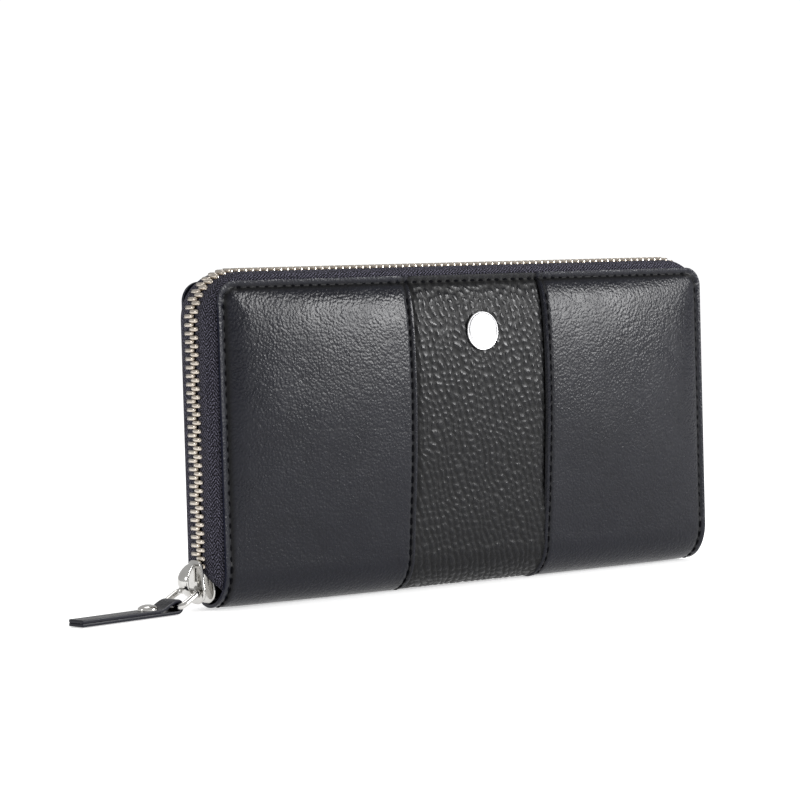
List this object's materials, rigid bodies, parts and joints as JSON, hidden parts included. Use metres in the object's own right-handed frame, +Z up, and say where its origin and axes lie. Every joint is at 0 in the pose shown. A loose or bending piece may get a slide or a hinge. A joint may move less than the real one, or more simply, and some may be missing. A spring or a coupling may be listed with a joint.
{
  "type": "zip around wallet",
  "caption": "Padded leather wallet that zips shut round three sides, with folding gussets, card pockets and a zipped coin pocket.",
  "frame": {"origin": "centre of the flat strip under the spine that the closed wallet stands on", "axes": "+X along the width, away from the zip pull; +Y through the thickness, from the badge face to the plain face; +Z up, from the spine to the zipped edge"},
  "size_m": [0.2412, 0.0287, 0.1008],
  "materials": {
    "smooth_leather": "fine grained, soft sheen",
    "pebbled_leather": "tumbled pebble grain, glossy",
    "lining_cloth": "plain woven",
    "zip_tape": "herringbone woven",
    "zip_metal": "pale polished",
    "bright_metal": "polished nickel",
    "foam": "soft foam sheet",
    "board": "pressed fibre board"
  },
  "bodies": {
    "rear_half": {"spine_left_panel": "smooth_leather", "spine_centre_band": "pebbled_leather", "spine_right_panel": "smooth_leather", "rear_left_panel": "smooth_leather", "rear_centre_band": "pebbled_leather", "rear_right_panel": "smooth_leather", "rear_padding": "foam", "rear_board": "board", "rear_lining": "lining_cloth", "spine_lining": "lining_cloth", "rear_card_slots_left": "smooth_leather", "rear_card_slots_right": "smooth_leather", "rear_gusset_left": "lining_cloth", "rear_gusset_right": "lining_cloth", "rear_tape": "zip_tape", "rear_teeth": "zip_metal", "rear_stops": "zip_metal", "pocket_tongue": "lining_cloth"},
    "front_half": {"front_left_panel": "smooth_leather", "front_centre_band": "pebbled_leather", "front_right_panel": "smooth_leather", "front_padding": "foam", "front_board": "board", "front_lining": "lining_cloth", "front_card_slots_left": "smooth_leather", "front_card_slots_right": "smooth_leather", "front_gusset_left": "lining_cloth", "front_gusset_right": "lining_cloth", "front_tape": "zip_tape", "front_teeth": "zip_metal", "front_stops": "zip_metal", "badge_disc": "bright_metal", "badge_pins": "bright_metal"},
    "divider": {"coin_pocket_front": "smooth_leather", "coin_pocket_rear": "smooth_leather", "coin_pocket_binding": "lining_cloth", "coin_tape_front": "zip_tape", "coin_tape_rear": "zip_tape", "coin_teeth_front": "zip_metal", "coin_teeth_rear": "zip_metal", "coin_stops": "zip_metal"},
    "slider": {"slider_body": "bright_metal", "slider_crown": "bright_metal", "slider_spring": "bright_metal"},
    "pull_link": {"pull_link": "bright_metal"},
    "pull_tab": {"tab_leather": "smooth_leather", "tab_rivet": "bright_metal"},
    "coin_slider": {"coin_slider_body": "bright_metal", "coin_slider_crown": "bright_metal"},
    "coin_pull": {"coin_pull": "bright_metal"}
  },
  "joints": [
    {"name": "cover_open", "type": "hinge", "parent": "rear_half", "child": "front_half", "pos_m": [0, 0, 0.012], "axis": [1, 0, 0], "range_deg": [0, 40], "deforming": ["spine_left_panel", "spine_centre_band", "spine_right_panel", "spine_lining", "front_gusset_left", "front_gusset_right", "rear_gusset_left", "rear_gusset_right", "pocket_tongue"]},
    {"name": "divider_swing", "type": "hinge", "parent": "rear_half", "child": "divider", "pos_m": [0, 0, 0.012], "axis": [1, 0, 0], "range_deg": [0, 20]},
    {"name": "zip_slide", "type": "slide", "parent": "rear_half", "child": "slider", "axis": [0, 0, 1], "range_m": [0, 0.065]},
    {"name": "link_swing", "type": "hinge", "parent": "slider", "child": "pull_link", "pos_m": [-0.1006, 0, 0.0062], "axis": [-0.1668, 0.986, 0], "range_deg": [-60, 70]},
    {"name": "tab_swing", "type": "hinge", "parent": "pull_link", "child": "pull_tab", "pos_m": [-0.10759, -0.00118, 0.00249], "axis": [-0.1668, 0.986, 0], "range_deg": [-85, 25]},
    {"name": "coin_zip_slide", "type": "slide", "parent": "divider", "child": "coin_slider", "axis": [-1, 0, 0], "range_m": [0, 0.136]},
    {"name": "coin_pull_swing", "type": "hinge", "parent": "coin_slider", "child": "coin_pull", "pos_m": [0.06955, 0, 0.0738], "axis": [0, -1, 0], "range_deg": [0, 150]}
  ],
  "couplings": [
    {"joint": "divider_swing", "follows": "cover_open", "ratio": 0.5}
  ]
}
